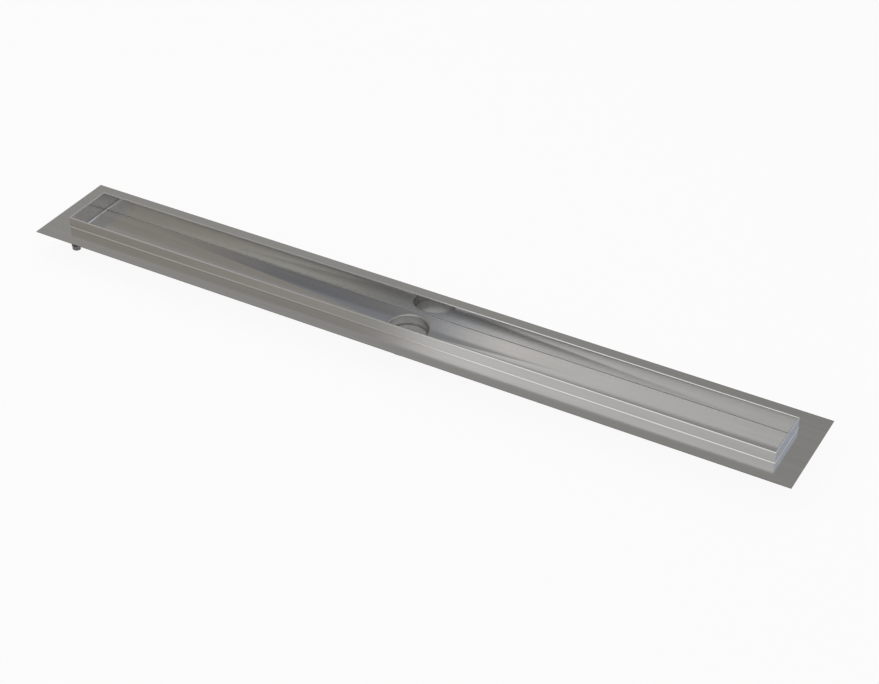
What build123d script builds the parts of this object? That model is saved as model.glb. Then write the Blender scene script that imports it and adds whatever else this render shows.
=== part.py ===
from build123d import *
import math
import os

# A linear shower channel folded from stainless sheet, shown without its grating.
# One sheet makes the flat sealing flange, turns up into a collar, is hemmed over at the rim,
# runs down inside the collar as the trough's wall and crosses as the floor.
# The floor is folded in four and falls to an outlet at the middle of the channel.
# All sizes are in millimetres.
# The origin is the middle of the spigot's lower end, X runs along the channel and Z is up.

# Sheet metal
sheet = 0.8            # gauge of the sheet
bend_radius = 1.0      # inside radius of the folds along the channel and of the neck
end_radius = 3.0       # inside radius of the wider folds where the floor turns up at the ends
hem_gap = 0.2          # between the two skins of the collar
rim_radius = 0.8       # rounding of the hem, on each side of the rim
valley_radius = 10.0   # inside radius of the shallow fold that runs to the outlet

# Flange, over which the nominal length of the channel is measured
flange_length = 1000.0
flange_margin = 30.0   # bare strip on each side of the collar

# Trough
lip_margin = 6.3       # from the outlet's rolled lip to the wall beside it
collar_height = 14.0   # rim above the top of the flange, for the tiles
trough_depth = 24.6    # rim down to the fold along the walls
floor_fall = 3.0       # from that fold down to the outlet
wall_lean = 1.0        # in degrees, by which the trough's walls close in towards its floor

# Outlet
spigot_diameter = 50.0
spigot_wall = 2.0
spigot_length = 12.0
spigot_chamfer = 0.5
neck_depth = 10.4      # from the lowest point of the floor down to the top of the spigot
neck_overlap = 2.0     # how far the drawn neck reaches down round the spigot
neck_clearance = 0.1   # all round, between the neck and the spigot

# Bonding stud for the earth wire, with its washer and nut, M6
stud_inset = 50.0      # from the end of the flange to the stud's axis
stud_diameter = 6.0
stud_length = 18.0
stud_point = 0.6       # chamfer on the stud's end
stud_base_diameter = 7.5
stud_base_height = 0.8
washer_diameter = 12.0
washer_thickness = 1.6
washer_clearance = 0.2   # all round, between the washer and the stud
nut_across_flats = 10.0
nut_height = 5.0
nut_clearance = 0.05     # all round, between the nut's bore and the stud
nut_countersink = 0.4
nut_corner_angle = 30.0  # of the cone that cuts back the nut's corners
thread_showing = 1.0     # end of the stud below the nut

# Heights above the spigot's lower end
neck_end = spigot_length - neck_overlap
floor_low = spigot_length + neck_depth
fold_height = floor_low + floor_fall
rim_height = fold_height + trough_depth
flange_top = rim_height - collar_height
flange_under = flange_top - sheet

# Plan sizes, worked outwards from the spigot: the neck, its lip, the collar and the flange
spigot_radius = spigot_diameter / 2
neck_inner = spigot_radius + neck_clearance
neck_outer = neck_inner + sheet
lip_radius = bend_radius + sheet
lip_edge = neck_inner + lip_radius
collar_thickness = 2 * sheet + hem_gap
collar_width = 2 * (lip_edge + lip_margin + collar_thickness)
collar_length = flange_length - 2 * flange_margin
flange_width = collar_width + 2 * flange_margin
headroom = rim_height + collar_thickness


def water_section(span, floor_points, fold_radius, growth):
    """The space inside the trough, seen along its walls, grown outwards by a thickness."""
    half = span / 2 - collar_thickness
    wall_top = rim_height - rim_radius
    foot = half - (wall_top - fold_height) * math.tan(math.radians(wall_lean))
    with BuildSketch() as section:
        with BuildLine():
            Polyline(
                (0, floor_low),
                *floor_points,
                (foot, fold_height),
                (half, wall_top),
                (half, headroom),
                (0, headroom),
            )
            mirror(about=Plane.YZ)
        make_face()
        folds = section.vertices().filter_by_position(Axis.Y, fold_height, fold_height)
        fillet(folds, fold_radius)
        if not floor_points:
            fillet(section.vertices().sort_by(Axis.Y)[0], valley_radius)
        if growth > 0:
            offset(amount=growth, kind=Kind.INTERSECTION)
    return section.sketch


def envelope_section(span, flange_span):
    """The outside of the sheet, seen along a wall: the flat flange and the collar on it."""
    half = span / 2
    with BuildSketch() as section:
        with BuildLine():
            Polyline(
                (0, flange_under),
                (flange_span / 2, flange_under),
                (flange_span / 2, flange_top),
                (half, flange_top),
                (half, rim_height),
                (0, rim_height),
            )
            mirror(about=Plane.YZ)
        make_face()
        feet = section.vertices().filter_by_position(Axis.Y, flange_top, flange_top)
        fillet(feet.filter_by_position(Axis.X, -half, half), bend_radius)
        fillet(section.vertices().group_by(Axis.Y)[-1], rim_radius)
    return section.sketch


def lining_section(span):
    """The space under the outer skin, seen along a wall, with the back of the flange's bend."""
    half = span / 2 - sheet
    bend_outside = bend_radius + sheet
    foot = half + bend_outside
    bend_top = flange_top + bend_radius
    hem_top = rim_height - rim_radius
    with BuildSketch() as section:
        with BuildLine():
            Line((0, flange_under), (foot, flange_under))
            CenterArc((foot, bend_top), bend_outside, 180, 90)
            Polyline((half, bend_top), (half, hem_top), (0, hem_top))
            mirror(about=Plane.YZ)
        make_face()
    return section.sketch


def mouth_section(span):
    """The air over the trough, seen along a wall, with the rounding of the rim's inner edge."""
    half = span / 2 - collar_thickness
    with BuildSketch() as section:
        with BuildLine():
            Line((0, rim_height - rim_radius), (half, rim_height - rim_radius))
            CenterArc((half + rim_radius, rim_height - rim_radius), rim_radius, 90, 90)
            Polyline((half + rim_radius, rim_height), (half + rim_radius, headroom), (0, headroom))
            mirror(about=Plane.YZ)
        make_face()
    return section.sketch


def crossed(across, along):
    """A solid with one outline seen along X and another seen along Y, mitred at its corners."""
    with BuildPart() as solid:
        extrude(Plane.YZ * across, amount=flange_length, both=True)
        extrude(Plane.XZ * along, amount=flange_width, both=True, mode=Mode.INTERSECT)
    return solid.part


def water_space(growth):
    """Side panels seen along X, cut by end panels seen along Y: a floor folded in four."""
    return crossed(
        water_section(collar_width, [], bend_radius, growth),
        water_section(collar_length, [(lip_edge, floor_low)], end_radius, growth),
    )


def round_edges(part, radius):
    """Edges of a part above its neck that lie at one distance from the outlet's axis."""
    return part.edges().filter_by(
        lambda edge: all(
            abs((point.X**2 + point.Y**2) ** 0.5 - radius) < 0.01 and point.Z > spigot_length
            for point in (edge @ 0, edge @ 0.5, edge @ 1)
        )
    )


os.makedirs("parts", exist_ok=True)

# The channel: one folded sheet, with its outlet neck drawn down out of the floor
envelope = crossed(
    envelope_section(collar_width, flange_width),
    envelope_section(collar_length, flange_length),
)
lining = crossed(lining_section(collar_width), lining_section(collar_length))
mouth = crossed(mouth_section(collar_width), mouth_section(collar_length))
with BuildPart() as channel_body:
    add(envelope)
    add(lining, mode=Mode.SUBTRACT)
    add(water_space(sheet))
    with BuildSketch(Plane.XY.offset(neck_end)):
        Circle(neck_outer)
    extrude(amount=fold_height - neck_end)
    add(water_space(0), mode=Mode.SUBTRACT)
    add(mouth, mode=Mode.SUBTRACT)
    with BuildSketch(Plane.XY.offset(neck_end)):
        Circle(neck_inner)
    extrude(amount=rim_height - neck_end, mode=Mode.SUBTRACT)
    split(bisect_by=Plane.XY.offset(rim_height), keep=Keep.BOTTOM)
    fillet(round_edges(channel_body, neck_inner), lip_radius)
    fillet(round_edges(channel_body, neck_outer), bend_radius)
channel_body.part.label = "channel_body"
export_step(channel_body.part, "parts/channel_body.step")

# The spigot: a short tube inside the neck, with the ring of weld under the neck's edge
with BuildPart() as outlet_spigot:
    with BuildSketch(Plane.XZ):
        with BuildLine():
            Polyline(
                (spigot_radius - spigot_wall, 0),
                (spigot_radius - spigot_chamfer, 0),
                (spigot_radius, spigot_chamfer),
                (spigot_radius, neck_end - (neck_outer - spigot_radius)),
                (neck_outer, neck_end),
                (spigot_radius, neck_end),
                (spigot_radius, spigot_length),
                (spigot_radius - spigot_wall, spigot_length),
                close=True,
            )
        make_face()
    revolve(axis=Axis.Z)
outlet_spigot.part.label = "outlet_spigot"
export_step(outlet_spigot.part, "parts/outlet_spigot.step")

# The bonding stud is welded under the middle of the front strip, near the channel's left end
stud_x = -flange_length / 2 + stud_inset
stud_y = -flange_width / 2 + flange_margin / 2
stud_radius = stud_diameter / 2
stud_end = flange_under - stud_length
nut_low = stud_end + thread_showing
nut_high = nut_low + nut_height

with BuildPart() as bonding_stud:
    with BuildSketch(Plane((stud_x, stud_y, flange_under))):
        Circle(stud_base_diameter / 2)
    extrude(amount=-stud_base_height)
    with BuildSketch(Plane((stud_x, stud_y, stud_end))):
        Circle(stud_radius)
    extrude(amount=stud_length)
    chamfer(bonding_stud.edges().group_by(Axis.Z)[0], stud_point)
bonding_stud.part.label = "bonding_stud"
export_step(bonding_stud.part, "parts/bonding_stud.step")

# The washer lies on the nut
with BuildPart() as stud_washer:
    with BuildSketch(Plane((stud_x, stud_y, nut_high))):
        Circle(washer_diameter / 2)
        Circle(stud_radius + washer_clearance, mode=Mode.SUBTRACT)
    extrude(amount=washer_thickness)
stud_washer.part.label = "stud_washer"
export_step(stud_washer.part, "parts/stud_washer.step")

# The nut: a hexagon with a countersunk bore, its corners cut back by a cone at each face
nut_face = nut_across_flats / 2
nut_corner = nut_face / math.cos(math.radians(30))
corner_drop = (nut_corner - nut_face) * math.tan(math.radians(nut_corner_angle))
with BuildPart() as stud_nut:
    with BuildSketch(Plane((stud_x, stud_y, nut_low))):
        RegularPolygon(nut_face, side_count=6, major_radius=False)
        Circle(stud_radius + nut_clearance, mode=Mode.SUBTRACT)
    extrude(amount=nut_height)
    chamfer(stud_nut.edges().filter_by(GeomType.CIRCLE), nut_countersink)
    with BuildSketch(Plane((stud_x, stud_y, nut_low), x_dir=(1, 0, 0), z_dir=(0, -1, 0))):
        with BuildLine():
            Polyline(
                (0, 0),
                (nut_face, 0),
                (nut_corner, corner_drop),
                (nut_corner, nut_height - corner_drop),
                (nut_face, nut_height),
                (0, nut_height),
                close=True,
            )
        make_face()
    revolve(axis=Axis((stud_x, stud_y, 0), (0, 0, 1)), mode=Mode.INTERSECT)
stud_nut.part.label = "stud_nut"
export_step(stud_nut.part, "parts/stud_nut.step")
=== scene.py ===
# %% [markdown]
# # A folded stainless shower channel
# The CAD frame already holds the right shapes: one folded sheet, a short outlet tube and a
# bonding stud with its washer and nut. What is left for Blender is what the eye reads as
# metal: the satin grain, the weld beads, a real thread, and a soft studio for the steel to
# mirror. Everything is in metres, in the frame of the CAD model.

import math

import bpy
import numpy as np
from mathutils import Matrix, Vector


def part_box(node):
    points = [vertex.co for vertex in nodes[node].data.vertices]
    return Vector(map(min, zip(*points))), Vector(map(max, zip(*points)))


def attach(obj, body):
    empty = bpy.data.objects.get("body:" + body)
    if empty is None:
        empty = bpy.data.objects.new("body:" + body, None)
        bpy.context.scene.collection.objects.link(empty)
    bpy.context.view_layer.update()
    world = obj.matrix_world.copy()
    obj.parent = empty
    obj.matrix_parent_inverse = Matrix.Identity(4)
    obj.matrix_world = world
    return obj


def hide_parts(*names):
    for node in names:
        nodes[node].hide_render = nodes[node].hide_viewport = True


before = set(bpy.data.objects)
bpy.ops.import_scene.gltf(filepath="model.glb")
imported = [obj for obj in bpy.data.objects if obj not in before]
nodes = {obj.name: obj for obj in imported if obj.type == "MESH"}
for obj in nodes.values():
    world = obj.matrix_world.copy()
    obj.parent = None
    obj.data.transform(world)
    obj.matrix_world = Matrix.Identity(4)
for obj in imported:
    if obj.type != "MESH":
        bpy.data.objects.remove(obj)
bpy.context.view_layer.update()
MM = 0.001

# %% [markdown]
# ## The camera
# The photograph was taken from above the channel's right half, looking down its length to
# the left. A camera is easiest to place by a point, a heading, a dip and a slight roll: the
# three axes of the camera follow from those, and they are the columns of its matrix.

# %% Camera
CAMERA_PLACE = Vector((0.90544, -1.53077, 1.28726))
CAMERA_HEADING = math.radians(29.3845)
CAMERA_DIP = math.radians(35.8237)
CAMERA_ROLL = math.radians(0.2155)
FOCAL_IN_WIDTHS = 1858.32 / 879


def look_axes(heading, dip, roll):
    """Right, up and back of a camera: turned by the heading, dipped, then rolled about its view."""
    level_ahead = Vector((-math.sin(heading), math.cos(heading), 0))
    ahead = level_ahead * math.cos(dip) + Vector((0, 0, -math.sin(dip)))
    level = Vector((math.cos(heading), math.sin(heading), 0))
    above = level.cross(ahead)
    right = level * math.cos(roll) + above * math.sin(roll)
    up = above * math.cos(roll) - level * math.sin(roll)
    return right, up, -ahead


camera_data = bpy.data.cameras.new("studio_camera")
camera_data.sensor_width = 36
camera_data.lens = 36 * FOCAL_IN_WIDTHS
camera = bpy.data.objects.new("studio_camera", camera_data)
bpy.context.scene.collection.objects.link(camera)
axes = Matrix(look_axes(CAMERA_HEADING, CAMERA_DIP, CAMERA_ROLL)).transposed()
camera.matrix_world = Matrix.Translation(CAMERA_PLACE) @ axes.to_4x4()
bpy.context.scene.camera = camera
print("lens", round(camera_data.lens, 2), "mm")

# %% [markdown]
# ## Small helpers for node materials
# A material is a graph, so short helpers keep the cells readable: they start a material, make
# a node with its plain sockets set, join two sockets, and do the sums that masks need.

# %% Node helpers


def new_material(name):
    """An empty node material and its output node."""
    material = bpy.data.materials.new(name)
    material.use_nodes = True
    material.node_tree.nodes.clear()
    return material, node(material, "OutputMaterial")


def node(material, kind, **values):
    """A shader node of one kind, with settings by attribute name and sockets by their label."""
    made = material.node_tree.nodes.new("ShaderNode" + kind)
    for key, value in values.items():
        label = key.replace("_", " ").strip().title()
        if hasattr(made, key):
            setattr(made, key, value)
        else:
            made.inputs[label].default_value = value
    return made


def join(material, source, target):
    """A link from one socket to another."""
    material.node_tree.links.new(source, target)


def math_node(material, operation, first, second=None):
    """A Math node whose inputs are numbers or sockets, returned as its result socket."""
    made = node(material, "Math", operation=operation)
    for slot, value in enumerate((first, second)):
        if value is None:
            continue
        if isinstance(value, (int, float)):
            made.inputs[slot].default_value = value
        else:
            join(material, value, made.inputs[slot])
    return made.outputs[0]


def remap(material, value, low, high, new_low, new_high):
    """A value moved from one range to another and held at its ends."""
    made = node(material, "MapRange")
    join(material, value, made.inputs["Value"])
    ends = {"From Min": low, "From Max": high, "To Min": new_low, "To Max": new_high}
    for label, number in ends.items():
        made.inputs[label].default_value = number
    return made.outputs["Result"]


def axis_values(material, vector):
    """The X, Y and Z of a vector socket, by name."""
    parts = node(material, "SeparateXYZ")
    join(material, vector, parts.inputs["Vector"])
    return parts.outputs


def product(material, first, *others):
    """Numbers or sockets multiplied together."""
    for other in others:
        first = math_node(material, "MULTIPLY", first, other)
    return first


def total(material, first, *others):
    """Numbers or sockets added together."""
    for other in others:
        first = math_node(material, "ADD", first, other)
    return first


def beyond(material, value, limit):
    """One where a value's size is over a limit, nought elsewhere."""
    return math_node(material, "GREATER_THAN", math_node(material, "ABSOLUTE", value), limit)


def scaled(material, colour, factor):
    """A colour socket or plain colour made darker or lighter by a factor."""
    scale = node(material, "VectorMath", operation="SCALE")
    if isinstance(colour, tuple):
        scale.inputs[0].default_value = colour
    else:
        join(material, colour, scale.inputs[0])
    join(material, factor, scale.inputs["Scale"])
    return scale.outputs["Vector"]


def stretched_noise(material, place, scale, detail, roughness=0.5):
    """Noise read through a Mapping node, so that it can be drawn out along an axis."""
    mapping = node(material, "Mapping")
    mapping.inputs["Scale"].default_value = scale
    join(material, place, mapping.inputs["Vector"])
    noise = node(material, "TexNoise")
    noise.inputs["Scale"].default_value = 1.0
    noise.inputs["Detail"].default_value = detail
    noise.inputs["Roughness"].default_value = roughness
    join(material, mapping.outputs["Vector"], noise.inputs["Vector"])
    return noise.outputs["Fac"]


# %% [markdown]
# ## Satin stainless sheet
# The mill finish is a fine grain along the channel. On the walls of the two ends the grain
# stands upright, because the sheet was flat when it was ground. So the noise is drawn out
# along X on most faces and along Z where a face looks along X. The grain goes three ways:
# a little into the colour, a little into the roughness and a little into the bump, and the
# anisotropy spreads the highlight across it.
#
# Some places differ, and each is a mask worked out from the place alone: the two long fold
# lines are dull and darker, a painted shade in the creases; the sheared edge of the flange is
# rough and darker, a painted shade; and the outlet's lip and neck carry ground rings and are
# darker, a painted shade in the outlet's mouth. Two more are fitted to the photograph: the floor
# near the outlet is darker and bluer, a painted shade and reflection, and the collar's long outer
# walls are shaded as if they leaned in by a degree, for a cause that isn't known.

# %% Sheet material
STEEL = (0.574, 0.570, 0.563)
GRAIN_LENGTH = 14.0
GRAIN_FINENESS = 2600.0
FOLD_SIDE = 32.8 * MM
FOLD_HEIGHT = 25.5 * MM
FOLD_LINE = 0.9 * MM
LIP_EDGE = 27.3 * MM
# Painted shade and bluish reflection on the floor round the outlet
OUTLET_SHADE_NEAR, OUTLET_SHADE_FAR = 38 * MM, 120 * MM
OUTLET_SHADE_REFLECTION_TINT = (0.765, 0.795, 0.86)
NECK_INSIDE = 25.3 * MM
# Painted shade: the outlet's lip is darkened, and the inside of its neck a little less
LIP_PAINTED_SHADE, NECK_PAINTED_SHADE = 0.60, 0.85
COLLAR_SIDE = 34.6 * MM
COLLAR_LEAN = math.radians(1.0)
EDGE_SIDE, EDGE_END = 64.9 * MM, 499.9 * MM
GRAIN_TINT = 0.05
# Painted shade: the fold creases and the flange's sheared edge are darkened
FOLD_PAINTED_SHADE, EDGE_PAINTED_SHADE = 0.68, 0.35
FOLD_DULL, LIP_DULL, EDGE_DULL = 0.42, 0.25, 0.35
SATIN_ROUGHNESS = (0.125, 0.145)
GRAIN_ROUGHNESS = 0.02
GRAIN_BUMP = 0.015


def end_wall_mask(material, coordinates):
    """One on faces that look along X, zero on the others."""
    facing = axis_values(material, coordinates.outputs["Normal"])
    return remap(material, math_node(material, "ABSOLUTE", facing["X"]), 0.6, 0.8, 0.0, 1.0)


def blend_values(material, factor, first, second):
    """One value or another by a mask."""
    mix = node(material, "Mix", data_type="FLOAT")
    join(material, factor, mix.inputs["Factor"])
    join(material, first, mix.inputs["A"])
    join(material, second, mix.inputs["B"])
    return mix.outputs["Result"]


def tinted(material, steel, value, spread):
    """The steel's colour made darker and lighter by a value between nought and one."""
    return scaled(material, steel, remap(material, value, 0.25, 0.75, 1.0 - spread, 1.0 + spread))


def fold_dull_and_shade_mask(material, place):
    """One along the two long folds of the trough, where the sheet is dull and painted darker as shade in
    the crease, zero away from them.
    """
    parts = axis_values(material, place)
    aside = math_node(material, "SUBTRACT", math_node(material, "ABSOLUTE", parts["Y"]), FOLD_SIDE)
    above = math_node(material, "SUBTRACT", parts["Z"], FOLD_HEIGHT)
    squares = total(material, product(material, aside, aside), product(material, above, above))
    away = math_node(material, "SQRT", squares)
    return remap(material, away, 0.5 * FOLD_LINE, 1.2 * FOLD_LINE, 1.0, 0.0)


def from_axis(material, place):
    """Distance from the outlet's upright axis."""
    level = node(material, "VectorMath", operation="MULTIPLY")
    level.inputs[1].default_value = (1, 1, 0)
    join(material, place, level.inputs[0])
    length = node(material, "VectorMath", operation="LENGTH")
    join(material, level.outputs["Vector"], length.inputs[0])
    return length.outputs["Value"]


def rings(material, distance):
    """Fine ground lines about an axis: noise that knows only the distance from it."""
    noise = node(material, "TexNoise", noise_dimensions="1D")
    noise.inputs["Scale"].default_value = 1.0
    noise.inputs["Detail"].default_value = 3
    join(material, math_node(material, "MULTIPLY", distance, 2400.0), noise.inputs["W"])
    return noise.outputs["Fac"]


def leaning_normal(material, place, normal):
    """The normal of the collar's two long outer walls, leant in by a degree, and others as they are."""
    outside = beyond(material, axis_values(material, place)["Y"], COLLAR_SIDE)
    upright = beyond(material, axis_values(material, normal)["Y"], 0.9)
    lean = node(material, "CombineXYZ")
    join(material, product(material, outside, upright, math.tan(COLLAR_LEAN)), lean.inputs["Z"])
    tilted = node(material, "VectorMath", operation="ADD")
    join(material, normal, tilted.inputs[0])
    join(material, lean.outputs["Vector"], tilted.inputs[1])
    unit = node(material, "VectorMath", operation="NORMALIZE")
    join(material, tilted.outputs["Vector"], unit.inputs[0])
    return unit.outputs["Vector"]


def edge_rough_and_shade_mask(material, place):
    """One on the sheared edge of the flange, which is rough, and painted dark as shade."""
    parts = axis_values(material, place)
    side = beyond(material, parts["Y"], EDGE_SIDE)
    end = beyond(material, parts["X"], EDGE_END)
    return math_node(material, "MAXIMUM", side, end)


def outlet_shade_and_reflection_mask(material, place, radius):
    """One on the floor near the outlet, for a painted shade and bluish reflection, less at the front and
    left, as the photograph's tones are.
    """
    parts = axis_values(material, place)
    near = remap(material, radius, OUTLET_SHADE_NEAR, OUTLET_SHADE_FAR, 1.0, 0.0)
    low = math_node(material, "LESS_THAN", parts["Z"], FOLD_HEIGHT)
    back = remap(material, parts["Y"], -16 * MM, 4 * MM, 0.25, 1.0)
    right = remap(material, parts["X"], -40 * MM, 0.0, 0.55, 1.0)
    return product(material, near, low, product(material, back, right))


def press_in(material, shader, marks, depth, distance, normal=None):
    """A small bump from a height socket, joined to a shader."""
    bump = node(material, "Bump")
    bump.inputs["Strength"].default_value = depth
    bump.inputs["Distance"].default_value = distance
    join(material, marks, bump.inputs["Height"])
    if normal is not None:
        join(material, normal, bump.inputs["Normal"])
    join(material, bump.outputs["Normal"], shader.inputs["Normal"])


def satin_sheet():
    """Stainless sheet with its grain along the channel and upright on the end walls."""
    material, output = new_material("satin_sheet")
    coordinates = node(material, "TexCoord")
    place = coordinates.outputs["Object"]
    radius = from_axis(material, place)

    ends = end_wall_mask(material, coordinates)
    fold = fold_dull_and_shade_mask(material, place)
    # The flange's edge: rough, and painted dark as shade
    edge = edge_rough_and_shade_mask(material, place)
    # The lip: ground rings and dullness, and painted shade in the outlet's mouth
    lip = remap(material, radius, LIP_EDGE, LIP_EDGE + 0.8 * MM, 1.0, 0.0)
    # Painted shade and bluish reflection on the floor round the outlet, kept off the lip
    drawn = math_node(material, "SUBTRACT", outlet_shade_and_reflection_mask(material, place, radius), lip)

    along = stretched_noise(material, place, (GRAIN_LENGTH, GRAIN_FINENESS, GRAIN_FINENESS), 4)
    upright = stretched_noise(material, place, (GRAIN_FINENESS, GRAIN_FINENESS, GRAIN_LENGTH), 4)
    brushed = blend_values(material, ends, along, upright)
    grain = blend_values(material, lip, brushed, rings(material, radius))
    cloud = stretched_noise(material, place, (6.0, 22.0, 22.0), 3)
    streaks = stretched_noise(material, place, (1.6, 130.0, 130.0), 2)

    outlet_shaded = node(material, "Mix", data_type="RGBA", blend_type="MULTIPLY", clamp_factor=True)
    join(material, drawn, outlet_shaded.inputs["Factor"])
    join(material, tinted(material, STEEL, grain, GRAIN_TINT), outlet_shaded.inputs[6])
    outlet_shaded.inputs[7].default_value = (*OUTLET_SHADE_REFLECTION_TINT, 1)
    neck_end = NECK_INSIDE + 0.3 * MM
    # Painted shade in the fold creases, on the outlet's lip and neck and on the flange's edge, times
    # real random streaks
    shade = product(
        material,
        remap(material, fold, 0.0, 1.0, 1.0, FOLD_PAINTED_SHADE),
        remap(material, lip, 0.0, 1.0, 1.0, LIP_PAINTED_SHADE),
        remap(material, radius, NECK_INSIDE, neck_end, NECK_PAINTED_SHADE / LIP_PAINTED_SHADE, 1.0),
        remap(material, edge, 0.0, 1.0, 1.0, EDGE_PAINTED_SHADE),
        remap(material, streaks, 0.3, 0.7, 0.97, 1.03),
    )
    fine = remap(material, grain, 0.25, 0.75, -GRAIN_ROUGHNESS, GRAIN_ROUGHNESS)
    broad = remap(material, cloud, 0.3, 0.7, *SATIN_ROUGHNESS)
    dull = total(
        material,
        product(material, fold, FOLD_DULL),
        product(material, lip, LIP_DULL),
        product(material, edge, EDGE_DULL),
    )

    shader = node(material, "BsdfPrincipled", metallic=1.0)
    shader.inputs["Anisotropic"].default_value = 0.5
    shader.inputs["Anisotropic Rotation"].default_value = 0.25
    join(material, scaled(material, outlet_shaded.outputs[2], shade), shader.inputs["Base Color"])
    join(material, total(material, fine, broad, dull), shader.inputs["Roughness"])
    normal = leaning_normal(material, place, node(material, "NewGeometry").outputs["Normal"])
    press_in(material, shader, grain, GRAIN_BUMP, 0.02 * MM, normal)
    tangent = node(material, "CombineXYZ")
    join(material, math_node(material, "SUBTRACT", 1.0, ends), tangent.inputs["X"])
    join(material, ends, tangent.inputs["Z"])
    join(material, tangent.outputs["Vector"], shader.inputs["Tangent"])
    join(material, shader.outputs["BSDF"], output.inputs["Surface"])
    return material


def dress(name, material):
    """Puts a material in every slot of a CAD node."""
    for slot in range(len(nodes[name].data.materials)):
        nodes[name].data.materials[slot] = material


dress("channel_body", satin_sheet())

# %% [markdown]
# ## The small parts' steels
# Each shows how it was made. The spigot is drawn tube, so its lines run along it, and the weld
# above has left a straw tint on its outside; its steel is painted darker than the sheet, as shade
# down the outlet. The nut, washer and stud are turned, so their lines run round the stud's own
# axis; their steel is painted dark, as shade under the flange, and it is darker towards the
# stud's axis, low in the thread. Weld metal is duller than the sheet and straw-coloured in patches.

# %% Small steels
# Painted shade: the tube's steel is darker than the sheet, for its inside seen down the outlet
TUBE_PAINTED_DARKER = (0.42, 0.415, 0.41)
# Painted shade: the turned parts are made dark, as they sit in shade under the flange
TURNED_IN_PAINTED_SHADE = (0.14, 0.14, 0.137)
WELD = (0.55, 0.54, 0.52)
STRAW = (0.46, 0.39, 0.29)
STUD_AXIS = (-450 * MM, -50 * MM)
TUBE_OUTSIDE = 24.4 * MM
TUBE_TOP = 11.5 * MM


def mixed_tone(graph, factor, first, second):
    """One colour socket or another by a factor."""
    mix = node(graph, "Mix", data_type="RGBA")
    join(graph, factor, mix.inputs["Factor"])
    join(graph, first, mix.inputs[6])
    join(graph, second, mix.inputs[7])
    return mix.outputs[2]


def plain_tone(graph, tone):
    """A colour as a socket."""
    made = node(graph, "RGB")
    made.outputs[0].default_value = (*tone, 1)
    return made.outputs[0]


def finish_steel(material, output, colour, roughness, marks, depth):
    """Metal from a colour and a roughness, with its marks pressed in by a small bump."""
    shader = node(material, "BsdfPrincipled", metallic=1.0)
    join(material, colour, shader.inputs["Base Color"])
    join(material, roughness, shader.inputs["Roughness"])
    press_in(material, shader, marks, depth, 0.05 * MM)
    join(material, shader.outputs["BSDF"], output.inputs["Surface"])
    return material


def drawn_tube():
    """Tube with fine lines along it, painted darker as shade, and a straw tint that fades down its
    outside from the weld.
    """
    material, output = new_material("drawn_tube")
    place = node(material, "TexCoord").outputs["Object"]
    lines = stretched_noise(material, place, (1500, 1500, 60), 3)
    height = axis_values(material, place)["Z"]
    heat = product(
        material,
        remap(material, height, 5 * MM, 10 * MM, 0.0, 0.5),
        math_node(material, "GREATER_THAN", from_axis(material, place), TUBE_OUTSIDE),
        math_node(material, "LESS_THAN", height, TUBE_TOP),
    )
    bare = tinted(material, TUBE_PAINTED_DARKER, lines, 0.08)
    colour = mixed_tone(material, heat, bare, plain_tone(material, STRAW))
    rough = remap(material, lines, 0.25, 0.75, 0.22, 0.34)
    return finish_steel(material, output, colour, rough, lines, 0.15)


def turned_about_stud():
    """Bar turned about the stud's axis: lines round it on faces and sides, painted dark as shade, and
    darker towards the axis low in the thread.
    """
    material, output = new_material("turned_steel_painted_dark")
    place = node(material, "TexCoord").outputs["Object"]
    centred = node(material, "VectorMath", operation="SUBTRACT")
    centred.inputs[1].default_value = (*STUD_AXIS, 0)
    join(material, place, centred.inputs[0])
    radius = from_axis(material, centred.outputs["Vector"])
    height = axis_values(material, place)["Z"]
    lines = rings(material, total(material, radius, product(material, height, 0.7)))
    # Darker towards the stud's axis: in the thread's roots and in the bores
    darker_near_axis = remap(material, radius, 2.4 * MM, 2.9 * MM, 0.55, 1.0)
    colour = scaled(material, tinted(material, TURNED_IN_PAINTED_SHADE, lines, 0.15), darker_near_axis)
    rough = remap(material, lines, 0.25, 0.75, 0.18, 0.30)
    return finish_steel(material, output, colour, rough, lines, 0.2)


def weld_metal():
    """Weld metal: duller than the sheet, finely pitted and straw-coloured in patches."""
    material, output = new_material("weld_metal")
    place = node(material, "TexCoord").outputs["Object"]
    pits = stretched_noise(material, place, (2200, 2200, 2200), 3)
    patches = stretched_noise(material, place, (240, 240, 240), 2)
    heat = remap(material, patches, 0.42, 0.62, 0.0, 0.7)
    bare = tinted(material, WELD, pits, 0.08)
    colour = mixed_tone(material, heat, bare, plain_tone(material, STRAW))
    rough = remap(material, pits, 0.25, 0.75, 0.26, 0.38)
    return finish_steel(material, output, colour, rough, pits, 0.2)


tube_steel = drawn_tube()
turned_steel_painted_dark = turned_about_stud()
weld_steel = weld_metal()
dress("outlet_spigot", tube_steel)
dress("stud_washer", turned_steel_painted_dark)
dress("stud_nut", turned_steel_painted_dark)

# %% [markdown]
# ## Surfaces from two parameters
# Every new piece is one grid of points worked out by numpy: one parameter runs along the
# piece and the other runs round it. The faces are the quads between neighbours, so a piece
# is closed when the grid wraps round and its open ends get one flat face each.

# %% Grid helpers


def grid_faces(rows, columns, wrap_rows=False):
    """Quads between neighbouring points of a grid that always wraps along its columns."""
    r = np.arange(rows if wrap_rows else rows - 1)[:, None]
    c = np.arange(columns)[None, :]
    r2, c2 = (r + 1) % rows, (c + 1) % columns
    corners = (r * columns + c, r * columns + c2, r2 * columns + c2, r2 * columns + c)
    return np.stack([np.broadcast_to(q, (r.shape[0], columns)) for q in corners], -1).reshape(-1, 4)


def turned(radius, height, angle):
    """Points about the Z axis from a radius and a height for each row and angle."""
    return np.stack([radius * np.cos(angle), radius * np.sin(angle), height + 0 * angle], axis=-1)


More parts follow.
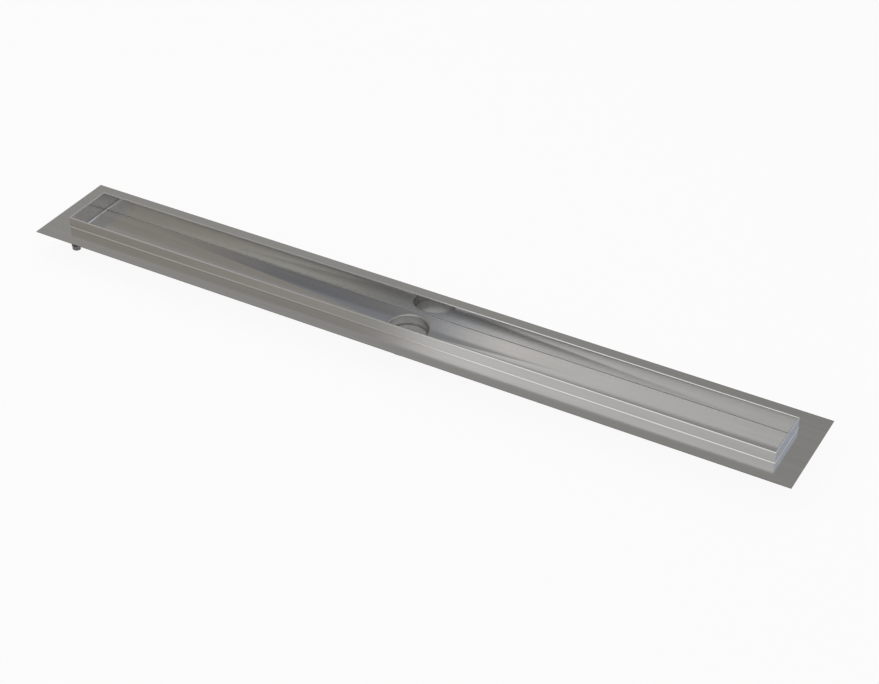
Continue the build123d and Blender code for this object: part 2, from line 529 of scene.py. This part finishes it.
def mesh_object(name, points, faces, material):
    """A smooth object at the origin from arrays of points and a list of faces."""
    mesh = bpy.data.meshes.new(name)
    mesh.from_pydata(points.reshape(-1, 3).tolist(), [], faces)
    mesh.materials.append(material)
    mesh.polygons.foreach_set("use_smooth", [True] * len(mesh.polygons))
    mesh.update()
    made = bpy.data.objects.new(name, mesh)
    bpy.context.scene.collection.objects.link(made)
    print(name, len(mesh.vertices), "points", len(mesh.polygons), "faces")
    return made


def rod(name, points, material):
    """A closed object from a grid whose first and last rows are its two ends, seen from outside."""
    rows, columns = points.shape[:2]
    faces = grid_faces(rows, columns).tolist()
    faces.append(list(range(columns))[::-1])
    faces.append(list(range((rows - 1) * columns, rows * columns)))
    return mesh_object(name, points, faces, material)


# %% [markdown]
# ## The bonding stud's thread
# The CAD stud is a plain cylinder, but the real one is M6 with a pitch of 1 mm. A thread is
# a radius that depends on the angle and on the height together: going once round moves the
# groove up by one pitch. The triangle wave of that phase is clipped, which leaves a narrow
# flat on each crest and a wider one in each root. A cone bounds it at the point, and it
# fades out into the plain foot that is welded to the flange.

# %% Stud
STUD_RADIUS = 3.0 * MM
THREAD_PITCH = 1.0 * MM
THREAD_DEPTH = 0.61 * MM
POINT_CHAMFER = 0.6 * MM
FOOT_HEIGHT = 0.8 * MM
FOOT_ROUNDING = 0.5 * MM
ROWS_PER_PITCH = 12


def thread_radius(height, angle, length):
    """Radius of the screw at a height above its point, less the groove, under the point's cone."""
    phase = np.mod(height / THREAD_PITCH - angle / (2 * math.pi), 1.0)
    groove = np.clip((np.abs(2 * phase - 1) - 0.125) / 0.625, 0, 1)
    fade = np.clip((length - height) / THREAD_PITCH, 0, 1)
    return np.minimum(STUD_RADIUS - THREAD_DEPTH * groove * fade, STUD_RADIUS - POINT_CHAMFER + height)


def threaded_stud(material):
    """The screw from its point up to the flange, with a rounded foot as wide as the CAD one."""
    low, high = (np.array(corner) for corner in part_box("bonding_stud"))
    foot_radius = (high[0] - low[0]) / 2
    thread_length = high[2] - low[2] - FOOT_HEIGHT
    angle = np.linspace(0, 2 * math.pi, 40, endpoint=False)[None, :]
    rows = int(thread_length / THREAD_PITCH * ROWS_PER_PITCH)
    height = np.linspace(0, thread_length, rows)[:, None]
    screw = turned(thread_radius(height, angle, thread_length), height, angle)
    turn = np.linspace(0, math.pi / 2, 6)[:, None]
    foot_height = thread_length + FOOT_ROUNDING * (1 - np.cos(turn))
    foot_out = foot_radius - FOOT_ROUNDING * (1 - np.sin(turn))
    foot = turned(foot_out + 0 * angle, foot_height, angle)
    top = turned(foot_radius + 0 * angle, np.array([[thread_length + FOOT_HEIGHT]]), angle)
    middle = [(low[0] + high[0]) / 2, (low[1] + high[1]) / 2, low[2]]
    return rod("threaded_stud", np.concatenate([screw, foot, top]) + middle, material)


# %% [markdown]
# ## Weld beads
# A bead is laid down drop by drop, so it is a thin tube whose radius swells and shrinks in
# scallops, and each scallop is a half moon because its middle lags behind its sides. Half of
# the tube lies inside the metal that it joins. One bead runs round the spigot under the
# neck's edge, one round the foot of the stud, and one stands on each upright corner of the
# trough under the flange, where the sheet's sides and ends meet.

# %% Welds
RIPPLE_LENGTH = 1.1 * MM
RIPPLE_DEPTH = 0.10
RIPPLE_SAMPLES = 6


def ripple(distance, round_angle):
    """Swelling of a bead at a distance along it, lagging in the middle to make half moons."""
    phase = distance / RIPPLE_LENGTH + 0.35 * np.cos(round_angle)
    return 1 + RIPPLE_DEPTH * (np.abs(np.sin(math.pi * phase)) - 0.6)


def weld_ring(name, centre, ring_radius, bead_radius, material):
    """A rippled bead laid in a level ring: round the tube one way and round the ring the other."""
    steps = int(2 * math.pi * ring_radius / RIPPLE_LENGTH * RIPPLE_SAMPLES)
    along = np.linspace(0, 2 * math.pi, steps, endpoint=False)[None, :]
    around = np.linspace(0, 2 * math.pi, 12, endpoint=False)[:, None]
    bead = bead_radius * ripple(along * ring_radius, around + math.pi / 4)
    points = turned(ring_radius + bead * np.cos(around), bead * np.sin(around), along) + np.array(centre)
    faces = grid_faces(12, steps, wrap_rows=True)[:, ::-1].tolist()
    return mesh_object(name, points, faces, material)


def weld_stick(name, foot, length, bead_radius, material):
    """A rippled bead that stands upright, with its two ends drawn in to a blunt point."""
    rows = int(length / RIPPLE_LENGTH * RIPPLE_SAMPLES)
    height = np.linspace(0, length, rows)[:, None]
    around = np.linspace(0, 2 * math.pi, 12, endpoint=False)[None, :]
    to_end = np.minimum(height, length - height) / (2 * bead_radius)
    taper = np.sqrt(np.clip(0.1 + to_end, 0, 1))
    bead = bead_radius * taper * ripple(height, around)
    return rod(name, turned(bead, height, around) + np.array(foot), material)


# %% [markdown]
# ## Place the pieces
# Most of their places come from the boxes of the CAD nodes, so they stay right if a size changes; the
# trough's corners and the spigot's radius are given as numbers.
# The neck's edge is the lowest point of the channel body, and the wall's thickness and the
# hem's are the only sheet sizes that a box can't give.

# %% Place them
CORNER_ALONG = 468.75 * MM
CORNER_ASIDE = 33.75 * MM
CORNER_LOW = 27.6 * MM
SPIGOT_RADIUS = 25 * MM

body_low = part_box("channel_body")[0]
stud_low, stud_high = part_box("bonding_stud")

stud = threaded_stud(turned_steel_painted_dark)
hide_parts("bonding_stud")
neck_bead = weld_ring(
    "neck_weld", (0, 0, body_low[2] - 0.2 * MM), SPIGOT_RADIUS + 0.35 * MM, 0.75 * MM, weld_steel
)
stud_middle = [(a + b) / 2 for a, b in zip(stud_low, stud_high)]
stud_bead = weld_ring(
    "stud_weld",
    (stud_middle[0], stud_middle[1], stud_high[2] - 0.1 * MM),
    (stud_high[0] - stud_low[0]) / 2,
    0.45 * MM,
    weld_steel,
)
welds = [neck_bead, stud_bead]
for side, y in (("front", -1), ("back", 1)):
    for end, x in (("left", -1), ("right", 1)):
        foot = (x * CORNER_ALONG, y * CORNER_ASIDE, CORNER_LOW)
        length = stud_high[2] - CORNER_LOW
        welds.append(weld_stick(f"corner_weld_{side}_{end}", foot, length, 0.5 * MM, weld_steel))

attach(stud, "root")
for bead in welds:
    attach(bead, "root")

# %% [markdown]
# ## The studio
# A pale sweep: a flat floor that curls up all round, far enough away that the steel hardly
# sees its rim. It is one surface of revolution, radius and height along a profile, turned
# about the upright axis. Seen from below it lets the eye through, so the underside can be
# looked at.

# %% Floor
FLOOR_RADIUS = 3.2
SWEEP_RADIUS = 1.0
OWN_LIGHT = 0.9
# Painted shadow: the floor glows less inside the spigot's ring, where the channel shades it
OWN_LIGHT_IN_BORE = 0.15
BORE_RADIUS = 24 * MM
COMPASS_STEPS = 96


def pale_floor():
    """Pale paper: lit softly, shown near white to the eye and to the steel, with a painted shadow inside
    the spigot's ring, clear from below.
    """
    material, output = new_material("pale_floor")
    paper = node(material, "BsdfDiffuse")
    paper.inputs["Color"].default_value = (0.95, 0.95, 0.95, 1)
    white = node(material, "Emission")
    white.inputs["Color"].default_value = (1, 1, 1, 1)
    path = node(material, "LightPath")
    seen = math_node(material, "MAXIMUM", path.outputs["Is Camera Ray"], path.outputs["Is Glossy Ray"])
    seen = math_node(material, "MAXIMUM", seen, path.outputs["Is Transmission Ray"])
    radius = from_axis(material, node(material, "TexCoord").outputs["Object"])
    # Painted shadow inside the spigot's ring
    in_bore = math_node(material, "LESS_THAN", radius, BORE_RADIUS)
    own_light = remap(material, in_bore, 0.0, 1.0, OWN_LIGHT, OWN_LIGHT_IN_BORE)
    share = math_node(material, "MULTIPLY", seen, own_light)
    lit = node(material, "MixShader")
    join(material, share, lit.inputs["Fac"])
    join(material, paper.outputs["BSDF"], lit.inputs[1])
    join(material, white.outputs["Emission"], lit.inputs[2])
    clear = node(material, "BsdfTransparent")
    side = node(material, "NewGeometry")
    both = node(material, "MixShader")
    join(material, side.outputs["Backfacing"], both.inputs["Fac"])
    join(material, lit.outputs["Shader"], both.inputs[1])
    join(material, clear.outputs["BSDF"], both.inputs[2])
    join(material, both.outputs["Shader"], output.inputs["Surface"])
    return material


compass = np.linspace(0, 2 * math.pi, COMPASS_STEPS, endpoint=False)[None, :]
bend = np.linspace(0, math.radians(75), 12)[:, None]
sweep_out = FLOOR_RADIUS + SWEEP_RADIUS * np.sin(bend)
curl = turned(sweep_out, SWEEP_RADIUS * (1 - np.cos(bend)), compass)
sweep_faces = grid_faces(len(curl), COMPASS_STEPS)[:, ::-1].tolist() + [list(range(COMPASS_STEPS))]
floor = mesh_object("pale_floor", curl, sweep_faces, pale_floor())

# %% [markdown]
# ## The lamps
# One long soft box stands at the front and one hangs above the left half. The front one is
# five panels side by side, each a little dimmer than the one to its left, with a gap before
# the last. Their brightness was set by comparing tones with the photograph, since the true
# studio isn't known. A lamp's face adds its light to the room behind it, so they stay dim.

# %% Lights


def soft_box(name, place, aim, width, height, radiance, colour):
    """A square light panel that faces a point, set by how bright its face looks."""
    data = bpy.data.lights.new(name, "AREA")
    data.shape = "RECTANGLE"
    data.size, data.size_y = width, height
    data.energy = radiance * math.pi * width * height
    data.color = colour
    lamp = bpy.data.objects.new(name, data)
    lamp.location = place
    lamp.rotation_euler = (Vector(aim) - Vector(place)).to_track_quat("-Z", "Y").to_euler()
    lamp.visible_camera = False
    bpy.context.scene.collection.objects.link(lamp)
    return lamp


# Left edge, right edge and brightness of each panel of the front box
FRONT_PANELS = (
    (-1.2, -0.9, 0.90),
    (-0.9, -0.6, 0.74),
    (-0.6, -0.3, 0.65),
    (-0.3, 0.15, 0.56),
    (1.0, 2.0, 0.45),
)
COOL, NEUTRAL = (0.98, 0.99, 1.0), (1.0, 1.0, 1.0)
for number, (left, right, radiance) in enumerate(FRONT_PANELS):
    middle = (left + right) / 2
    place = (middle, -2.1, 1.75)
    soft_box(f"front_box_{number}", place, (middle, 0, 0), right - left, 1.8, radiance, COOL)
soft_box("top_box", (-0.47, -0.1, 2.3), (-0.47, -0.1, 0), 0.96, 2.4, 1.3, NEUTRAL)

# %% [markdown]
# ## The room round the boxes
# What the boxes don't cover is a dim grey room, and steel shows it clearly. It is laid out as
# a panorama in two rows, one above the other: lists of headings, nought towards the back and
# growing to the right, each with a broad tone. The tones were set until the steel's
# looked like the photograph's. A dark blue-grey ceiling closes them at the left.

# %% Room
UPPER_ROW = (
    (-180, (0.60, 0.60, 0.60)),
    (-152, (0.60, 0.60, 0.60)),
    (-148, (0.62, 0.575, 0.525)),
    (-100, (0.62, 0.575, 0.525)),
    (-75, (0.42, 0.415, 0.40)),
    (-43, (0.42, 0.415, 0.40)),
    (-29, (0.40, 0.395, 0.382)),
    (-15, (0.36, 0.356, 0.345)),
    (-3, (0.36, 0.36, 0.35)),
    (5, (0.72, 0.78, 0.90)),
    (25, (0.72, 0.78, 0.90)),
    (33, (0.58, 0.585, 0.57)),
    (70, (0.58, 0.585, 0.57)),
    (100, (0.60, 0.60, 0.60)),
)
LOWER_ROW = (
    (-180, (0.48, 0.48, 0.48)),
    (-152, (0.50, 0.50, 0.49)),
    (-149.5, (0.88, 0.88, 0.81)),
    (-147, (0.88, 0.88, 0.81)),
    (-143, (0.62, 0.59, 0.54)),
    (-100, (0.62, 0.575, 0.525)),
    (-75, (0.43, 0.425, 0.41)),
    (-37, (0.43, 0.425, 0.41)),
    (-33, (0.74, 0.73, 0.70)),
    (-28.5, (0.74, 0.73, 0.70)),
    (-26.5, (0.41, 0.405, 0.39)),
    (-15, (0.36, 0.356, 0.345)),
    (-3, (0.36, 0.36, 0.35)),
    (5, (0.72, 0.78, 0.90)),
    (25, (0.72, 0.78, 0.90)),
    (33, (0.58, 0.585, 0.57)),
    (70, (0.58, 0.585, 0.57)),
    (100, (0.55, 0.55, 0.55)),
)
CEILING = (0.28, 0.30, 0.35)
ROW_CHANGE = (0.52, 0.59)
BACK_LIFT = 0.08
CEILING_FROM = (0.60, 0.68)
CEILING_LEFT, CEILING_FAR_LEFT = (0.40, 0.45), (0.47, 0.55)


def smooth_step(world, value, low, high):
    """Nought below a range, one above it, eased between."""
    made = node(world, "MapRange", interpolation_type="SMOOTHSTEP")
    join(world, value, made.inputs["Value"])
    made.inputs["From Min"].default_value = low
    made.inputs["From Max"].default_value = high
    return made.outputs["Result"]


def row_of_tones(world, turn, row):
    """The tone of one row of the panorama, from a turn between nought and one."""
    ramp = node(world, "ValToRGB")
    join(world, turn, ramp.inputs["Fac"])
    stops = ramp.color_ramp.elements
    stops.remove(stops[1])
    for number, (degrees, tone) in enumerate(row):
        stop = stops[0] if number == 0 else stops.new(0.5 + degrees / 360)
        stop.position = 0.5 + degrees / 360
        stop.color = (*tone, 1)
    return ramp.outputs["Color"]


world = bpy.data.worlds.new("grey_room")
bpy.context.scene.world = world
world.use_nodes = True
world.node_tree.nodes.clear()
towards = axis_values(world, node(world, "TexCoord").outputs["Generated"])
heading = math_node(world, "ARCTAN2", towards["X"], towards["Y"])
turn = remap(world, heading, -math.pi, math.pi, 0.0, 1.0)
at_back = product(world, math_node(world, "GREATER_THAN", towards["Y"], 0.0), BACK_LIFT)
walls = mixed_tone(
    world,
    smooth_step(world, total(world, towards["Z"], at_back), *ROW_CHANGE),
    row_of_tones(world, turn, LOWER_ROW),
    row_of_tones(world, turn, UPPER_ROW),
)
leftward = product(world, towards["X"], -1.0)
beside_box = math_node(
    world,
    "SUBTRACT",
    smooth_step(world, leftward, *CEILING_LEFT),
    smooth_step(world, leftward, *CEILING_FAR_LEFT),
)
overhead = product(world, smooth_step(world, towards["Z"], *CEILING_FROM), beside_box)
room = node(world, "Background")
join(world, mixed_tone(world, overhead, walls, plain_tone(world, CEILING)), room.inputs["Color"])
join(world, room.outputs["Background"], node(world, "OutputWorld").inputs["Surface"])

# %% [markdown]
# ## Finish
# Standard colours.

# %% Finish
bpy.context.scene.view_settings.view_transform = "Standard"
